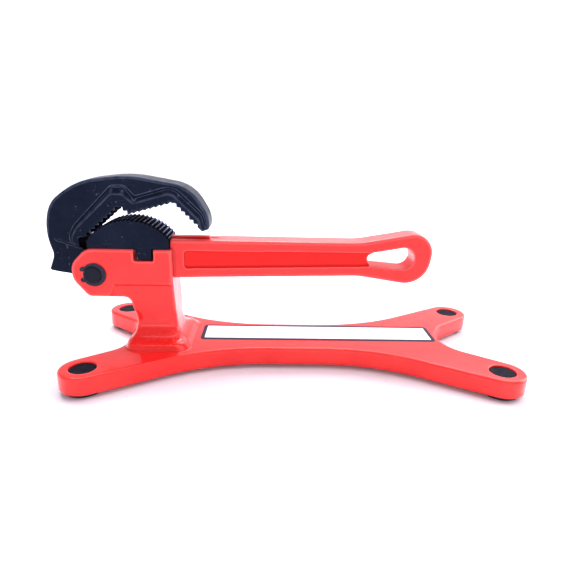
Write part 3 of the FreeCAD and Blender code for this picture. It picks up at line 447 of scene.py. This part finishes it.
def make_heel(forging, teeth):
    """The heel jaw. Its tooth crests get painted highlights across the width, but not at its side faces.
    """
    heel = remeshed("heel_jaw", "forged_heel", 0.4)
    relax(heel, 1)
    side, fade = 14.6, 1.2
    mark_relief(heel, 16, rise(side - np.abs(mm_along(heel, 1)), 0.0, fade))
    finish_piece(heel, "frame", forging, "black_forging", "heel_jaw")
    cut_faces(heel, teeth, 80.0)


def finish_fittings(steel, oiled, foot_rubber):
    """Materials for the nodes that keep their CAD mesh."""
    for node, obj in nodes.items():
        if node in ("vise_body", "hook_jaw", "heel_jaw", "label"):
            continue
        finish = foot_rubber if node.startswith("rubber") else steel
        if node == "jaw_spring":
            finish = oiled
        obj.data.materials.clear()
        obj.data.materials.append(finish)


def rounded_rectangle(left, right, front, back, radius):
    points = []
    steps = 6
    for cx, cy, start in ((right - radius, back - radius, 0), (left + radius, back - radius, 90),
                          (left + radius, front + radius, 180), (right - radius, front + radius, 270)):
        for step in range(steps + 1):
            angle = math.radians(start + 90 * step / steps)
            points.append((cx + radius * math.cos(angle), cy + radius * math.sin(angle)))
    return points


def make_label():
    """A vinyl sheet with a dark rim; its white field is printed inside the rim."""
    low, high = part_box("label")
    corner_radius, rim_width = 4.0 * MM, 3.6
    mesh = bmesh.new()
    rings = []
    # Each ring's inset in mm and its share of the sheet's thickness.
    for inset, share in ((0.0, 0.0), (0.0, 0.85), (0.25, 1.0), (rim_width, 1.0), (3.8, 1.0)):
        gap = inset * MM
        outline = rounded_rectangle(low.x + gap, high.x - gap, low.y + gap, high.y - gap,
                                    corner_radius - gap)
        height = low.z + (high.z - low.z) * share
        rings.append([mesh.verts.new((x, y, height)) for x, y in outline])
    for number, (outer, inner) in enumerate(zip(rings, rings[1:])):
        for index in range(len(outer)):
            after = (index + 1) % len(outer)
            face = mesh.faces.new((outer[index], outer[after], inner[after], inner[index]))
            face.material_index = 1 if number == len(rings) - 2 else 0
    middle = mesh.faces.new(rings[-1])
    middle.material_index = 1
    mesh.faces.new(list(reversed(rings[0])))
    data = bpy.data.meshes.new("label_sheet")
    bmesh.ops.recalc_face_normals(mesh, faces=mesh.faces)
    mesh.to_mesh(data)
    mesh.free()
    sheet = bpy.data.objects.new("label_sheet", data)
    bpy.context.scene.collection.objects.link(sheet)
    data.materials.append(label_vinyl("label_rim", (0.012, 0.009, 0.034), (0.022, 0.016, 0.050)))
    data.materials.append(label_vinyl("label_field", (0.80, 0.81, 0.86), (0.88, 0.88, 0.92)))
    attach(sheet, "frame")
    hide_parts("label")


paint = red_paint()
forging, teeth = black_forging(), toothed_forging()
steel, oiled, foot_rubber = black_steel(), spring_steel(), rubber()
make_casting(paint)
make_hook(forging, teeth)
make_heel(forging, teeth)
finish_fittings(steel, oiled, foot_rubber)
make_label()


# ---------------------------------------------------------------- stage, light, camera

def make_floor():
    g = Graph("pale_floor")
    tone = g.blend(g.noise(6.0, 2.0), (0.85, 0.88, 0.93), (0.87, 0.90, 0.95))
    g.surface(Base_Color=tone, Roughness=0.75, Specular_IOR_Level=0.2)
    bpy.ops.mesh.primitive_plane_add(size=40.0, location=(0.0, 0.0, -0.0002))
    floor = bpy.context.object
    floor.name = "floor"
    floor.data.materials.append(g.material)


def soft_light(name, place, aim, width, height, power):
    light = bpy.data.lights.new(name, "AREA")
    light.shape = "RECTANGLE"
    light.size, light.size_y = width, height
    light.energy = power
    obj = bpy.data.objects.new(name, light)
    bpy.context.scene.collection.objects.link(obj)
    obj.location = place
    obj.rotation_euler = (Vector(aim) - Vector(place)).to_track_quat("-Z", "Y").to_euler()


def make_studio():
    """A white room: bright along the horizon and in one large window overhead and behind."""
    world = bpy.data.worlds.new("studio")
    world.use_nodes = True
    tree = world.node_tree
    background = tree.nodes["Background"]

    def add(kind, **values):
        node = tree.nodes.new(kind)
        for key, value in values.items():
            setattr(node, key, value)
        return node

    def stretch(source, low, high, to_low, to_high):
        node = add("ShaderNodeMapRange", interpolation_type="SMOOTHSTEP")
        tree.links.new(source, node.inputs[0])
        for index, value in enumerate((low, high, to_low, to_high)):
            node.inputs[index + 1].default_value = value
        return node.outputs[0]

    place = add("ShaderNodeTexCoord").outputs["Generated"]
    split = add("ShaderNodeSeparateXYZ")
    tree.links.new(place, split.inputs[0])
    toward = add("ShaderNodeVectorMath", operation="DOT_PRODUCT")
    tree.links.new(place, toward.inputs[0])
    toward.inputs[1].default_value = Vector((0.20, 0.40, 0.89)).normalized()
    horizon = stretch(split.outputs["Z"], 0.20, 0.50, 1.25, 0.48)
    window = stretch(toward.outputs["Value"], 0.76, 0.84, 0.0, 2.3)
    total = add("ShaderNodeMath", operation="ADD")
    tree.links.new(horizon, total.inputs[0])
    tree.links.new(window, total.inputs[1])
    tree.links.new(total.outputs[0], background.inputs["Strength"])
    background.inputs["Color"].default_value = (0.965, 0.94, 1.0, 1.0)
    bpy.context.scene.world = world


make_floor()
make_studio()
soft_light("right", (1.1, 0.25, 0.5), (0.0, 0.0, 0.08), 0.7, 0.7, 7.0)
soft_light("front_strip", (0.0, -1.6, 0.45), (0.0, 0.0, 0.09), 2.2, 0.26, 4.0)
soft_light("overhead", (-0.25, 0.56, 1.15), (0.0, 0.0, 0.05), 1.1, 0.45, 12.5)


def make_camera():
    """The main viewpoint: its focal length, place, and turns about the three axes."""
    data = bpy.data.cameras.new("camera")
    data.sensor_width = 36.0
    data.lens = 30.503
    camera = bpy.data.objects.new("camera", data)
    bpy.context.scene.collection.objects.link(camera)
    pitch, yaw, roll = 0.313495, 0.0400732, -0.0274688
    forward = math.cos(pitch)
    ahead = Vector((math.sin(yaw) * forward, math.cos(yaw) * forward, -math.sin(pitch)))
    level = Vector((math.cos(yaw), -math.sin(yaw), 0.0))
    down = ahead.cross(level)
    right = level * math.cos(roll) + down * math.sin(roll)
    up = level * math.sin(roll) - down * math.cos(roll)
    turned = Matrix((right, up, -ahead)).transposed().to_4x4()
    camera.matrix_world = Matrix.Translation((-0.0114302, -0.4346705, 0.2087353)) @ turned
    data.clip_start, data.clip_end = 0.01, 100.0
    bpy.context.scene.camera = camera


make_camera()
bpy.context.scene.view_settings.view_transform = "Standard"
